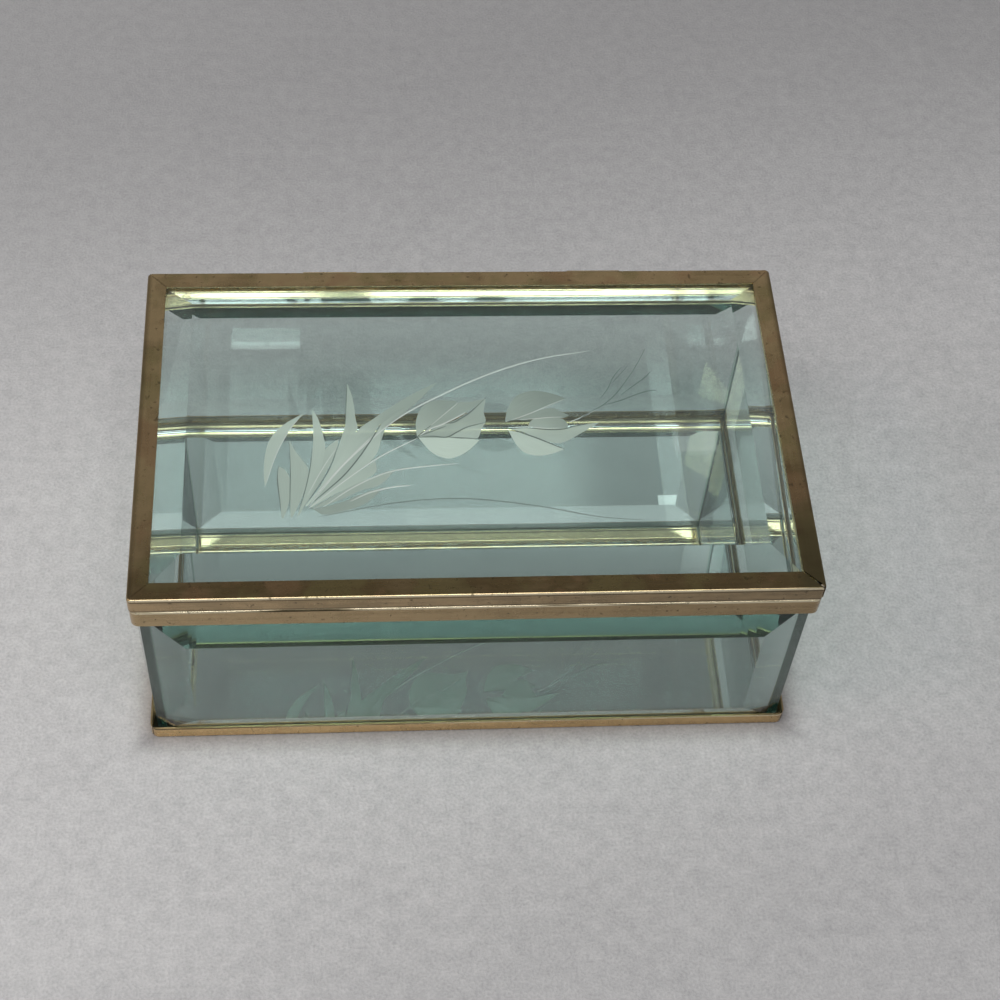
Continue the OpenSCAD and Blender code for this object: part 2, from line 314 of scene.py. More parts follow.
    def finish(self):
        """Lays the grime and painted shade over the colour, adds the relief, and gives the material."""
        g = self.g
        grain = g.noise(self.here, 2600.0, 2.0, 0.5)
        colour = g.mix(self.grime_and_shade, self.colour, GRIME_AND_SHADE)
        rough = self.roughness + self.wear * 0.08 + grain * 0.04 + self.grime_and_shade * 0.2 - self.inside * 0.09
        relief = g.bump(self.clouds + self.streak * 0.3, 0.15 * MM, 0.3)
        relief = g.bump(grain, 0.02 * MM, 0.4, relief)
        shader = g.node("ShaderNodeBsdfPrincipled", None,
                        {"Base Color": colour, "Metallic": self.metal, "Roughness": rough, "Normal": relief})
        g.surface(shader)
        return self.made


def base_brass():
    """The base strip, the brightest one, partly as painted light, with old bedding under the mirror's edge
    and painted shade in its channel.
    """
    # Its bright outer colour is partly painted light, for light on its face from low in front
    brass = FoldedBrass("base_brass", rgb(1.0, 0.72, 0.37), rgb(0.6, 0.42, 0.21), 0.2, (0.3, 0.1, 0.0))
    brass.seam(BASE_SEAM)
    brass.clean_highlit_legs()
    brass.dark_lip(BASE_LIP)
    brass.channel_bedding_and_shade(BASE_BEDDING)
    return brass.finish()


def rim_brass():
    """The rim strip, with a painted shade line along its inner leg and a pale painted haze of light in its
    back channel.
    """
    brass = FoldedBrass("rim_brass", rgb(0.5, 0.37, 0.205), rgb(0.33, 0.24, 0.13), 0.2, (0.0, 0.5, 0.2))
    brass.seam(RIM_SEAM)
    brass.clean_highlit_legs()
    brass.crease_shade(RIM_CREASE)
    brass.painted_back_haze(RIM_HAZE_TOP)
    return brass.finish()


def lid_brass():
    """The lid strip, browned on top by handling and rubbed bright along its upper arris, partly as a painted
    highlight.
    """
    brass = FoldedBrass("lid_brass", rgb(0.52, 0.38, 0.215), rgb(0.26, 0.195, 0.115), 0.2, (0.7, 0.0, 0.4))
    brass.handled_top(LID_FACE, LID_LEDGE, rgb(0.47, 0.34, 0.18), rgb(0.22, 0.155, 0.075))
    brass.seam(LID_SEAM)
    brass.arris_wear_and_highlight(LID_ARRIS)
    brass.clean_highlit_legs()
    return brass.finish()


def plain_brass(name, outer, worn_and_shaded, roughness, turn):
    """The hinges and their pins, with no marks of their own."""
    brass = FoldedBrass(name, outer, worn_and_shaded, roughness, turn)
    brass.clean_highlit_legs()
    return brass.finish()


# What a metre of the plate takes from red, green and blue light
GLASS_TAKES = (28.0, 16.0, 18.5)
GLASS_DENSITY = 30.0
# Where the ends of the front and back panes begin, past the side panes and below the rim
END_X = 77.7 * MM
END_Y = 46.5 * MM
END_TOP = 57.0 * MM


def glass_volume(g):
    """The tint of thick plate, as the light that it takes along the way."""
    colour = rgb(*(1 - take / GLASS_DENSITY for take in GLASS_TAKES))
    return g.node("ShaderNodeVolumeAbsorption", None, {"Color": colour, "Density": GLASS_DENSITY})


def clear_glass(g, rough, colour=rgb(1, 1, 1)):
    """Plate glass that also lets the lamps' light through to what is behind it."""
    glass = g.node("ShaderNodeBsdfPrincipled", None,
                   {"Base Color": colour, "Roughness": rough, "IOR": 1.52,
                    "Transmission Weight": 1.0})
    passing = g.node("ShaderNodeBsdfTransparent", None, {"Color": rgb(0.95, 0.96, 0.955)})
    lamp_ray = g.node("ShaderNodeLightPath", output="Is Shadow Ray")
    return g.node("ShaderNodeMixShader", None, {0: lamp_ray, 1: glass, 2: passing})


def plate_glass(name, haze):
    """Polished plate with a faint film of dust and finger marks, and a dull green tint of painted shade at
    the ends where the front and back panes stand past the side panes."""
    made, g = material(name)
    where = g.place()
    x, y, z = g.axes(where)
    # Painted shade: a darker green where the front and back panes stand past the side panes
    end = g.step(x.size(), END_X, END_X + 0.15 * MM) * g.step(y.size(), END_Y, END_Y + 0.1 * MM)
    end = end * g.step(z, END_TOP, END_TOP + 1.0 * MM, 1.0, 0.0)
    clear = g.mix(end, rgb(1, 1, 1), rgb(0.6, 0.72, 0.66))
    smears = g.step(g.noise(where, 60.0, 5.0, 0.65), 0.5, 0.72)
    dust = g.step(g.noise(where, 3200.0, 1.0, 0.5), 0.7, 0.8)
    glass = clear_glass(g, smears * 0.03, clear)
    film = g.node("ShaderNodeBsdfPrincipled", None,
                  {"Base Color": rgb(0.75, 0.8, 0.77), "Roughness": 0.9, "Specular IOR Level": 0.0})
    share = (smears * 0.5 + 0.5 + dust * 2.0) * haze
    g.surface(g.node("ShaderNodeMixShader", None, {0: share, 1: glass, 2: film}), glass_volume(g))
    return made


def silvered(name):
    """Silver seen through the mirror's own glass, with a few cloudy places."""
    made, g = material(name)
    where = g.place()
    clouds = g.step(g.noise(where, 45.0, 4.0, 0.6), 0.45, 0.75)
    colour = g.mix(clouds, rgb(0.745, 0.81, 0.785), rgb(0.695, 0.755, 0.735))
    shader = g.node("ShaderNodeBsdfPrincipled", None,
                    {"Base Color": colour, "Metallic": 1.0, "Roughness": clouds * 0.02})
    g.surface(shader)
    return made


def matt(name, colour, dark, scale, roughness, metallic=0.0):
    """A plain dull finish, mottled between two colours."""
    made, g = material(name)
    where = g.place()
    mottle = g.noise(where, scale, 4.0, 0.6)
    relief = g.bump(mottle, 0.1 * MM, 0.4)
    shader = g.node("ShaderNodeBsdfPrincipled", None,
                    {"Base Color": g.mix(g.step(mottle, 0.35, 0.65), colour, dark),
                     "Metallic": metallic, "Roughness": roughness + mottle * 0.15, "Normal": relief})
    g.surface(shader)
    return made


def cut_glass(name, dull, pale, cover):
    """A wheel-cut face: matt, with fine strokes along it. U runs across the cut, V along it, and the
    attribute "tone" gives the share of the paler colour, which is painted light and shade. A little of its
    light comes from behind."""
    made, g = material(name)
    along = g.node("ShaderNodeUVMap", {"uv_map": "cut"})
    stretched = g.node("ShaderNodeMapping", None, {"Vector": along, "Scale": (60.0, 3.0, 1.0)})
    strokes = g.noise(stretched, 1.0)
    tone = g.node("ShaderNodeAttribute", {"attribute_name": "tone"}, output="Fac")
    colour = g.mix(tone + (strokes - 0.5) * 0.15, dull, pale)
    cut = g.node("ShaderNodeBsdfPrincipled", None,
                 {"Base Color": colour, "Roughness": 0.7, "Specular IOR Level": 0.2,
                  "Alpha": cover + (strokes - 0.5) * 0.2})
    through = g.node("ShaderNodeBsdfTranslucent", None, {"Color": rgb(0.6, 0.66, 0.62)})
    g.surface(g.node("ShaderNodeMixShader", None, {0: 0.12, 1: cut, 2: through}))
    return made


def floor_cloth():
    """A pale plain ground with a short fibrous nap. Light and shade are painted on it: it is darker towards
    the back and along the front, a little paler on the left, and has a painted shadow round the box's foot."""
    made, g = material("pale_ground")
    where = g.place()
    x, y = g.axes(where, "XY")
    cloud = g.noise(where, 60.0, 4.0, 0.6)
    tufts = g.noise(where, 260.0, 3.0, 0.6)
    nap = g.noise(where, 1300.0, 2.0, 0.6)
    shade = (nap - 0.5) * 1.5 + (tufts - 0.5) * 1.1 + (cloud - 0.5) * 0.4 + 0.5
    # Painted light: paler on the left, and a little paler from y = 0.1 to 0.3
    shade = shade + g.step(x, -0.16, 0.02, 0.22, 0.0) + g.step(y, 0.1, 0.3, 0.0, 0.1)
    colour = g.mix(shade, rgb(0.365, 0.36, 0.365), rgb(0.545, 0.535, 0.535))
    # Painted shade: darker towards the back and along the front
    far = g.step(y - x * 0.2, 0.03, 0.22, 0.0, 0.56)
    near = g.step(y - x * 0.25, -0.13, -0.07, 0.2, 0.0)
    colour = g.mix(far + near, colour, rgb(0.2, 0.195, 0.2))
    # Painted shadow round the box's foot, stronger in front
    out = (x.size() - HALF_X).most(y.size() - HALF_Y)
    foot = g.step(out, -2.5 * MM, 7.5 * MM, 0.65, 0.0) * g.step(y, -0.04, 0.0, 1.0, 0.4)
    colour = g.mix(foot, colour, rgb(0.07, 0.062, 0.06))
    shader = g.node("ShaderNodeBsdfPrincipled", None,
                    {"Base Color": colour, "Roughness": 0.95, "Specular IOR Level": 0.1,
                     "Normal": g.bump(nap + tufts, 0.4 * MM, 0.5)})
    g.surface(shader)
    return made


def mesh_piece(name, points, faces, body, materials, uv=None, tone=None):
    """A new piece from arrays of points and faces, riding on a body."""
    mesh = bpy.data.meshes.new(name)
    mesh.from_pydata(points.reshape(-1, 3).tolist(), [], faces.tolist())
    for made in materials:
        mesh.materials.append(made)
    if uv is not None:
        layer = mesh.uv_layers.new(name="cut")
        corner_points = np.empty(len(mesh.loops), np.int32)
        mesh.loops.foreach_get("vertex_index", corner_points)
        layer.data.foreach_set("uv", uv.reshape(-1, 2)[corner_points].astype(np.float32).ravel())
    if tone is not None:
        shares = mesh.attributes.new("tone", "FLOAT", "POINT")
        shares.data.foreach_set("value", tone.astype(np.float32))
    piece = bpy.data.objects.new(name, mesh)
    bpy.context.scene.collection.objects.link(piece)
    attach(piece, body)
    return piece


def grid_faces(rows, columns, start=0):
    """The quads of a grid of rows by columns of points, in rows, as an array of indices."""
    corner = start + np.arange((rows - 1) * columns).reshape(rows - 1, columns)[:, :-1]
    return np.stack([corner, corner + 1, corner + columns + 1, corner + columns], -1).reshape(-1, 4)


def curve_through(points, count):
    """A smooth curve through a few points: each span is a Catmull-Rom cubic, the ends held straight."""
    p = np.asarray(points, float)
    ends = np.vstack([2 * p[0] - p[1], p, 2 * p[-1] - p[-2]])
    t = np.linspace(0, len(p) - 1, count)
    span = np.minimum(t.astype(int), len(p) - 2)
    f = (t - span)[:, None]
    a, b, c, d = (ends[span + k] for k in range(4))
    square = (2 * a - 5 * b + 4 * c - d) * f ** 2
    cube = (3 * b - a - 3 * c + d) * f ** 3
    return 0.5 * (2 * b + (c - a) * f + square + cube)


# Wheel-cut work on the lid, in millimetres from the middle of the lid.
# A face of a leaf lies between two edges, each a curve through a few points from root to tip,
# and has a tone near its root and a tone near its tip. The tones are painted light and shade of faces cut at
# different slants.
LEAF_FACES = {
    "sickle": (
        [(-50.8, -20.2), (-51.2, -16.1), (-51.0, -10.4), (-50.1, -6.1), (-48.5, -3.1), (-45.9, -0.3),
         (-41.7, 2.6)],
        [(-50.8, -20.2), (-50.1, -16.9), (-48.8, -11.9), (-47.1, -7.0), (-44.7, -1.9), (-42.8, 1.2),
         (-41.7, 2.6)],
        (0.53, 0.58)),
    "short_blade": (
        [(-46.7, -29.2), (-47.3, -23.6), (-47.8, -18.0), (-47.6, -13.7)],
        [(-46.2, -29.2), (-45.1, -25.2), (-44.6, -21.1), (-44.9, -17.3), (-46.1, -14.8),
         (-47.6, -13.7)],
        (0.41, 0.42)),
    "middle_blade": (
        [(-44.6, -28.9), (-44.8, -21.8), (-44.7, -14.3), (-44.9, -8.9), (-45.1, -5.6)],
        [(-44.2, -29.2), (-41.7, -22.6), (-40.6, -17.8), (-40.4, -14.7), (-41.9, -11.9), (-43.5, -9.3),
         (-45.1, -5.6)],
        (0.43, 0.45)),
    "tall_blade": (
        [(-43.1, -29.1), (-41.2, -21.3), (-40.0, -14.4), (-39.3, -7.5), (-39.3, -2.0), (-39.6, 3.9)],
        [(-42.2, -27.8), (-39.1, -20.4), (-37.0, -13.3), (-36.3, -8.7), (-36.7, -4.8), (-38.0, 0.7),
         (-39.6, 3.9)],
        (0.48, 0.60)),
    "inner_blade": (
        [(-41.6, -26.0), (-39.1, -20.4), (-37.0, -13.3), (-36.3, -8.9), (-34.5, -6.8), (-33.0, -5.6)],
        [(-41.2, -25.6), (-38.2, -20.4), (-35.5, -14.4), (-33.6, -9.9), (-33.0, -5.6)],
        (0.39, 0.51)),
    "spike": (
        [(-41.2, -25.8), (-37.6, -20.1), (-34.5, -12.9), (-32.4, -5.3), (-31.3, -1.0), (-31.1, 5.0),
         (-30.8, 12.2)],
        [(-40.6, -25.8), (-35.2, -17.5), (-31.5, -10.7), (-28.5, -3.0), (-28.8, 1.0), (-29.5, 7.6),
         (-30.8, 12.2)],
        (0.60, 0.43)),
    "broad_top": (
        [(-40.4, -25.8), (-36.4, -18.2), (-32.1, -10.3), (-28.3, -3.0), (-24.3, 0.7), (-20.8, 3.6),
         (-15.3, 7.8), (-7.9, 12.3)],
        [(-40.3, -25.6), (-35.5, -18.4), (-31.5, -13.0), (-28.1, -8.8), (-24.7, -5.0), (-22.4, -0.9),
         (-15.5, 3.6), (-7.9, 12.3)],
        (0.62, 0.30)),
    "broad_mid": (
        [(-40.1, -25.6), (-35.2, -17.9), (-31.5, -12.6), (-28.1, -8.6), (-24.7, -4.9), (-22.4, -1.0)],
        [(-39.7, -25.3), (-34.6, -19.8), (-30.9, -15.3), (-28.1, -11.3), (-24.8, -5.6), (-22.4, -1.0)],
        (0.45, 0.38)),
    "broad_side": (
        [(-40.0, -25.8), (-34.6, -19.9), (-30.9, -15.5), (-28.0, -11.5), (-24.7, -5.6), (-22.4, -1.0)],
        [(-39.8, -25.9), (-34.0, -21.1), (-29.4, -16.8), (-25.1, -12.5), (-22.9, -7.7), (-22.4, -1.0)],
        (0.50, 0.57)),
    "broad_tip": (
        [(-22.4, -1.0), (-19.6, 1.4), (-15.8, 4.2), (-7.9, 12.3)],
        [(-22.9, -7.7), (-21.9, -3.9), (-21.4, -1.9), (-18.0, 0.8), (-8.0, 12.3)],
        (0.40, 0.29)),
    "stem_fan": (
        [(-40.0, -26.0), (-35.2, -21.8), (-29.1, -16.5), (-24.2, -12.5)],
        [(-39.7, -26.3), (-34.0, -22.4), (-29.1, -19.7), (-24.2, -16.2), (-24.0, -12.5)],
        (0.58, 0.47)),
    "upper_fan": (
        [(-39.5, -26.4), (-34.0, -22.6), (-29.1, -19.5), (-23.0, -16.6), (-19.3, -15.2)],
        [(-39.1, -26.8), (-32.2, -23.9), (-27.6, -21.4), (-23.1, -19.8), (-19.3, -15.3)],
        (0.35, 0.39)),
    "lower_fan": (
        [(-39.1, -26.8), (-32.2, -24.7), (-27.7, -22.5), (-22.8, -20.7)],
        [(-39.0, -26.9), (-36.6, -28.4), (-32.2, -27.6), (-27.8, -26.0), (-24.8, -23.6),
         (-22.7, -20.8)],
        (0.22, 0.26)),
    "first_leaf_top": (
        [(-13.7, -5.2), (-13.9, -1.4), (-13.3, 1.7), (-12.0, 4.3), (-10.1, 5.8), (-7.2, 6.4),
         (-3.2, 5.9)],
        [(-13.7, -5.2), (-11.9, -3.2), (-9.4, -0.9), (-7.1, 1.4), (-4.5, 4.0), (-3.2, 5.8)],
        (0.42, 0.20)),
    "first_leaf_wing": (
        [(-13.5, -5.2), (-9.4, -0.9), (-7.1, 1.4), (-3.2, 5.4), (0.0, 5.7), (3.9, 6.7)],
        [(-13.2, -5.2), (-8.5, -1.9), (-4.3, 0.2), (-1.8, 1.8), (1.2, 4.1), (3.9, 6.7)],
        (0.30, 0.26)),
    "first_leaf_side": (
        [(-13.2, -5.2), (-8.5, -2.1), (-4.3, -0.2), (-1.8, 1.4), (1.2, 3.7), (3.9, 6.7)],
        [(-12.6, -5.3), (-6.4, -5.4), (-3.6, -3.8), (-1.0, -2.3), (3.4, -1.0), (3.2, 2.5), (3.9, 6.5)],
        (0.39, 0.38)),
    "first_leaf_edge": (
        [(-6.3, -5.5), (-4.2, -4.1), (-1.0, -2.4), (3.4, -1.0)],
        [(-6.0, -5.6), (-3.3, -5.8), (1.0, -6.1), (2.4, -3.1), (3.4, -1.1)],
        (0.57, 0.50)),
    "first_leaf_foot": (
        [(-13.4, -5.4), (-9.8, -5.5), (-6.1, -5.6), (-2.1, -6.0), (1.7, -6.4)],
        [(-13.4, -5.4), (-11.8, -7.9), (-9.9, -10.4), (-6.8, -12.0), (-4.2, -11.6), (-1.3, -9.8),
         (1.7, -6.5)],
        (0.81, 0.78)),
    "second_leaf_top": (
        [(8.4, -0.8), (8.8, 1.6), (9.9, 4.6), (11.6, 7.3), (13.9, 8.6), (16.6, 9.1), (20.4, 8.2),
         (24.2, 6.4)],
        [(8.4, -0.8), (10.7, -0.2), (13.6, 1.3), (17.2, 3.1), (20.4, 4.4), (24.2, 6.4)],
        (0.29, 0.12)),
    "second_leaf_wing": (
        [(10.7, -0.3), (13.6, 1.1), (17.2, 2.8), (20.7, 3.4), (22.8, 2.2), (24.6, 1.0)],
        [(10.8, -0.4), (15.4, -0.1), (19.2, 0.3), (22.6, 0.1), (24.6, 0.9)],
        (0.24, 0.18)),
    "second_leaf_band": (
        [(14.1, -2.1), (15.4, -0.2), (19.2, 0.3), (22.6, 0.0), (23.6, -1.0), (24.4, -2.4)],
        [(14.1, -2.2), (16.4, -3.1), (19.2, -3.4), (22.7, -3.3), (24.4, -2.4)],
        (0.36, 0.19)),
    "second_leaf_side": (
        [(9.3, -3.1), (14.0, -2.9), (18.3, -3.4), (22.4, -3.4), (25.9, -2.4), (31.9, -1.4)],
        [(9.3, -3.2), (12.3, -3.9), (15.9, -6.0), (19.3, -7.5), (22.7, -7.5), (27.3, -4.6),
         (31.9, -1.5)],
        (0.54, 0.46)),
    "second_leaf_foot": (
        [(9.1, -3.5), (12.9, -4.6), (15.9, -6.1), (18.9, -7.6), (22.5, -9.6)],
        [(9.1, -3.6), (9.9, -5.9), (11.4, -9.1), (13.1, -10.8), (15.9, -11.6), (19.3, -11.1),
         (22.5, -9.7)],
        (0.72, 0.67)),
}
# Each groove is a curve through a few points, with its width. The pale grooves are frosted, and paler on one
# side as a painted highlight
PALE_GROOVES = {
    "long_arc": (
        [(-40.6, -26.3), (-31.0, -12.6), (-18.5, 0.5), (-4.5, 9.6), (8.0, 15.9), (19.5, 19.8),
         (31.9, 22.1)], 0.40),
    "stem": (
        [(-40.6, -26.7), (-31.0, -17.8), (-22.6, -11.0), (-13.2, -5.4)], 0.36),
    "upper_spray": (
        [(-37.0, -26.3), (-31.0, -21.4), (-25.4, -17.9), (-19.8, -15.6), (-12.3, -14.4),
         (-3.5, -13.6)], 0.36),
    "lower_spray": (
        [(-30.3, -24.6), (-25.5, -22.0), (-19.9, -20.5), (-15.5, -20.1)], 0.40),
    "sickle_edge": (
        [(-50.6, -19.1), (-48.8, -11.9), (-47.1, -7.0), (-44.7, -1.9), (-41.7, 2.6)], 0.24),
    "spike_line": (
        [(-40.6, -22.6), (-38.2, -17.2), (-35.8, -12.3), (-33.5, -8.3)], 0.24),
    "broad_line": (
        [(-39.1, -23.4), (-34.6, -16.9), (-31.5, -12.8), (-28.1, -8.7), (-24.7, -4.8)], 0.36),
    "first_vein": (
        [(-10.3, -1.9), (-7.1, 1.4), (-4.5, 4.0), (-3.2, 5.3)], 0.20),
    "first_white": (
        [(-13.2, -5.0), (-10.4, -2.8), (-7.2, -1.3), (-4.0, 0.6), (-1.3, 2.4)], 0.44),
    "second_vein": (
        [(8.4, -0.8), (11.0, 0.1), (15.5, 2.1), (19.5, 4.2), (24.0, 6.3)], 0.24),
    "second_line": (
        [(10.7, -0.2), (15.4, 0.0), (19.2, 0.4), (23.0, 0.5)], 0.24),
    "second_edge": (
        [(8.8, -2.7), (14.0, -2.5), (18.3, -3.0), (22.1, -3.0)], 0.20),
    "twig_root": (
        [(24.4, -1.2), (27.4, 0.2), (30.7, 2.3), (33.7, 4.4)], 0.32),
}
# The dark grooves are painted shade, for the slopes of cuts turned from the light
DARK_GROOVES = {
    "ground_line": (
        [(-38.6, -29.2), (-31.1, -27.6), (-22.6, -25.7), (-12.0, -24.4), (-2.0, -24.3), (9.0, -25.7),
         (19.0, -27.7), (29.3, -30.2), (41.7, -31.6)], 0.30),
    "short_edge": (
        [(-46.9, -27.3), (-47.5, -21.8), (-47.9, -17.3), (-47.7, -13.9)], 0.25),
    "middle_edge": (
        [(-44.8, -27.4), (-44.8, -21.1), (-44.8, -14.3), (-45.1, -6.6)], 0.20),
    "tall_edge": (
        [(-42.7, -27.4), (-41.2, -21.3), (-40.0, -14.4), (-39.4, -8.2)], 0.20),
    "spike_edge": (
        [(-31.3, -0.6), (-31.1, 5.0), (-30.8, 12.0)], 0.20),
    "inner_dark": (
        [(-40.3, -24.1), (-37.6, -19.3), (-35.2, -14.5), (-33.3, -8.0)], 0.25),
    "broad_vein": (
        [(-39.1, -24.5), (-35.2, -20.5), (-31.5, -16.4), (-28.1, -11.4), (-24.8, -5.6),
         (-22.4, -1.0)], 0.35),
    "first_rib": (
        [(-6.6, -1.1), (-4.5, -0.8), (-2.8, 0.3), (-0.2, 2.3), (3.8, 6.7)], 0.35),
    "first_rib_root": (
        [(-13.2, -5.0), (-9.8, -3.5), (-6.3, -1.9)], 0.25),
    "first_spine": (
        [(-12.6, -5.1), (-9.5, -5.1), (-6.3, -5.4), (-3.6, -3.8), (-1.0, -2.3), (3.7, -0.9)], 0.35),
    "first_flat": (
        [(-6.3, -5.4), (-2.7, -5.7), (1.2, -6.0)], 0.25),
    "second_rib": (
        [(10.5, -3.4), (12.9, -4.6), (15.9, -6.0), (18.9, -7.6), (22.5, -9.6)], 0.40),
    "second_spine": (
        [(8.6, -2.9), (14.0, -2.8), (18.3, -3.4), (22.4, -3.4), (25.9, -2.4), (29.7, -1.7)], 0.35),
    "second_root": (
        [(8.6, -0.9), (11.0, -0.3), (15.0, -0.7)], 0.30),
    "twig": (
        [(26.0, -1.0), (30.0, 1.9), (33.7, 4.4), (36.9, 7.6), (40.6, 12.9), (43.3, 17.4),
         (46.1, 22.9)], 0.30),
    "twig_low": (
        [(33.7, 4.2), (38.0, 5.6), (41.3, 7.1), (44.6, 8.4), (47.6, 8.9)], 0.40),
    "twig_middle": (
        [(38.1, 7.2), (41.3, 10.0), (44.8, 12.9), (46.6, 14.9)], 0.30),
    "twig_high": (
        [(32.9, 6.1), (35.2, 9.7), (36.7, 13.0), (39.3, 16.7)], 0.25),
    "twig_spur": (
        [(36.3, 11.3), (38.4, 13.8), (41.0, 17.1)], 0.20),
}
CUT_STEPS = 25
LEAF_COLUMNS = 5
GROOVE_COLUMNS = 3
# Each face or groove lies this much above the one before it
CUT_LAYER = 0.001 * MM


def cut_sheet(flat, across, along, number, level):
    """One leaf face or groove from a grid of places: its points, each at the level plus the sheet's
    number times CUT_LAYER, its quads, and its UVs, which are U across and V along plus the number."""
    rows, columns = flat.shape[:2]
    height = np.full((rows, columns, 1), level + number * CUT_LAYER)
    points = np.concatenate([flat, height], -1).reshape(-1, 3)
    uvs = np.stack(np.broadcast_arrays(across, along[:, None] + number), -1).reshape(-1, 2)
    return points, grid_faces(rows, columns, number * rows * columns), uvs


def leaf_surfaces(level):
    """Leaf faces as one array: a point at U across and V along is the straight mix, by U, of the two
    edge curves at V, all at one level. The tone runs straight between a quarter and three quarters."""
    share = np.linspace(0, 1, LEAF_COLUMNS)[None, :, None]
    along = np.linspace(0, 1, CUT_STEPS)
    sheets, tones = [], []
    for number, (left, right, tone) in enumerate(LEAF_FACES.values()):
        a = curve_through(left, CUT_STEPS)[:, None, :]
        b = curve_through(right, CUT_STEPS)[:, None, :]
        flat = (a * (1 - share) + b * share) * MM
        sheets.append(cut_sheet(flat, share[..., 0], along, number, level))
        tones.append(np.repeat(np.interp(along, (0.25, 0.75), tone), LEAF_COLUMNS))
    points, faces, uvs = (np.vstack(part) for part in zip(*sheets))
    return points, faces, uvs, np.hstack(tones)


def groove_surfaces(grooves, level):
    """Grooves as ribbons: a point is the curve at V plus its sideways normal times half the width,
    which narrows to nothing at both ends as the 0.4th power of 1 less the square of V, V running
    from -1 to 1."""
    side = np.linspace(-1, 1, GROOVE_COLUMNS)[None, :, None]
    along = np.linspace(-1, 1, 2 * CUT_STEPS)
    taper = (1 - along ** 2) ** 0.4
    sheets = []
    for number, (route, width) in enumerate(grooves.values()):
        line = curve_through(route, 2 * CUT_STEPS)
        ahead = np.gradient(line, axis=0)
        ahead /= np.linalg.norm(ahead, axis=1, keepdims=True)
        normal = np.stack([-ahead[:, 1], ahead[:, 0]], -1)
        spread = (normal * taper[:, None] * width / 2)[:, None, :]
        flat = (line[:, None, :] + side * spread) * MM
        sheets.append(cut_sheet(flat, side[..., 0] / 2 + 0.5, along, number, level))
    return [np.vstack(part) for part in zip(*sheets)]


def box_points(low, high):
    """The eight corners of a box, X running fastest, and its six faces outwards."""
    z, y, x = np.meshgrid((low[2], high[2]), (low[1], high[1]), (low[0], high[0]), indexing="ij")
    corners = np.stack([x, y, z], -1).reshape(-1, 3)
    faces = [[0, 2, 3, 1], [4, 5, 7, 6], [0, 1, 5, 4], [1, 3, 7, 5], [3, 2, 6, 7], [2, 0, 4, 6]]
    return corners, np.array(faces)


SOLDER = matt("solder", rgb(0.5, 0.5, 0.49), rgb(0.25, 0.25, 0.25), 1500.0, 0.4, 1.0)
BEDDING = matt("bedding", rgb(0.15, 0.16, 0.14), rgb(0.08, 0.085, 0.075), 400.0, 0.5)
PLATE = plate_glass("bevelled_glass", 0.012)
HINGE_BRASS = plain_brass("hinge_brass", rgb(0.72, 0.54, 0.28), rgb(0.4, 0.29, 0.15), 0.24, (0.2, 0.6, 0.0))
PIN_BRASS = plain_brass("pin_brass", rgb(0.76, 0.58, 0.3), rgb(0.42, 0.3, 0.16), 0.22, (0.5, 0.0, 0.8))
FINISHES = {
    "base_frame": base_brass(),
    "rim_frame": rim_brass(),
    "lid_frame": lid_brass(),
    "mirror_silvering": matt("mirror_back_paint", rgb(0.28, 0.26, 0.25), rgb(0.18, 0.17, 0.165), 300.0, 0.6),
}
for joint in ("base_joint", "rim_joint", "lid_joint"):
    FINISHES[joint + "_solder"] = SOLDER
for bedded in ("rim_bedding", "lid_bedding"):
    FINISHES[bedded] = BEDDING
for plate in ("front_pane", "back_pane", "left_pane", "right_pane", "lid_glass"):
    FINISHES[plate] = PLATE
for side in ("left", "right"):
    FINISHES[side + "_hinge_body_leaf"] = HINGE_BRASS
    FINISHES[side + "_hinge_lid_leaf"] = HINGE_BRASS
    FINISHES[side + "_hinge_pin"] = PIN_BRASS
for node, finish in FINISHES.items():
    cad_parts[node].data.materials.clear()
    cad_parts[node].data.materials.append(finish)

MIRROR_GLASS = plate_glass("mirror_plate_glass", 0.01)
SILVER = silvered("silvering")
# The cut faces' and grooves' colours hold painted light and shade
FROSTED = cut_glass("frosted_cut", rgb(0.165, 0.207, 0.183), rgb(0.585, 0.71, 0.62), 0.93)
PALE_CUT = cut_glass("pale_groove", rgb(0.82, 0.88, 0.84), rgb(0.4, 0.46, 0.42), 0.8)
DARK_CUT = cut_glass("dark_groove", rgb(0.05, 0.07, 0.065), rgb(0.2, 0.25, 0.23), 0.85)


def mirror_plate():
    """The mirror's glass as a plate with ground edges. Its underside carries the silver."""
    low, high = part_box("mirror_glass")
    lift = 0.01 * MM
    points, faces = box_points((low.x, low.y, low.z + lift), high)
    piece = mesh_piece("mirror_plate", points, faces, "box", [MIRROR_GLASS, SILVER])
    piece.data.polygons[0].material_index = 1
    arris = piece.modifiers.new("arris", "BEVEL")
    arris.width = 0.25 * MM
    arris.segments = 2
    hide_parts("mirror_glass")


def lid_cutting():
    """The leaves and grooves, just proud of the lid glass so that they show from above and below. Across
    each groove the tone runs from one side to the other, painted light and shade on its two slopes.
    """
    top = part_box("lid_glass")[1].z
    points, faces, uvs, tones = leaf_surfaces(top + 0.02 * MM)
    mesh_piece("cut_leaves", points, faces, "lid", [FROSTED], uvs, tones)
    points, faces, uvs = groove_surfaces(PALE_GROOVES, top + 0.05 * MM)
    mesh_piece("cut_pale_grooves", points, faces, "lid", [PALE_CUT], uvs, uvs[:, 0])
    points, faces, uvs = groove_surfaces(DARK_GROOVES, top + 0.07 * MM)
    mesh_piece("cut_dark_grooves", points, faces, "lid", [DARK_CUT], uvs, uvs[:, 0])


# Half the width of the floor, in metres
FLOOR_HALF = 3.0


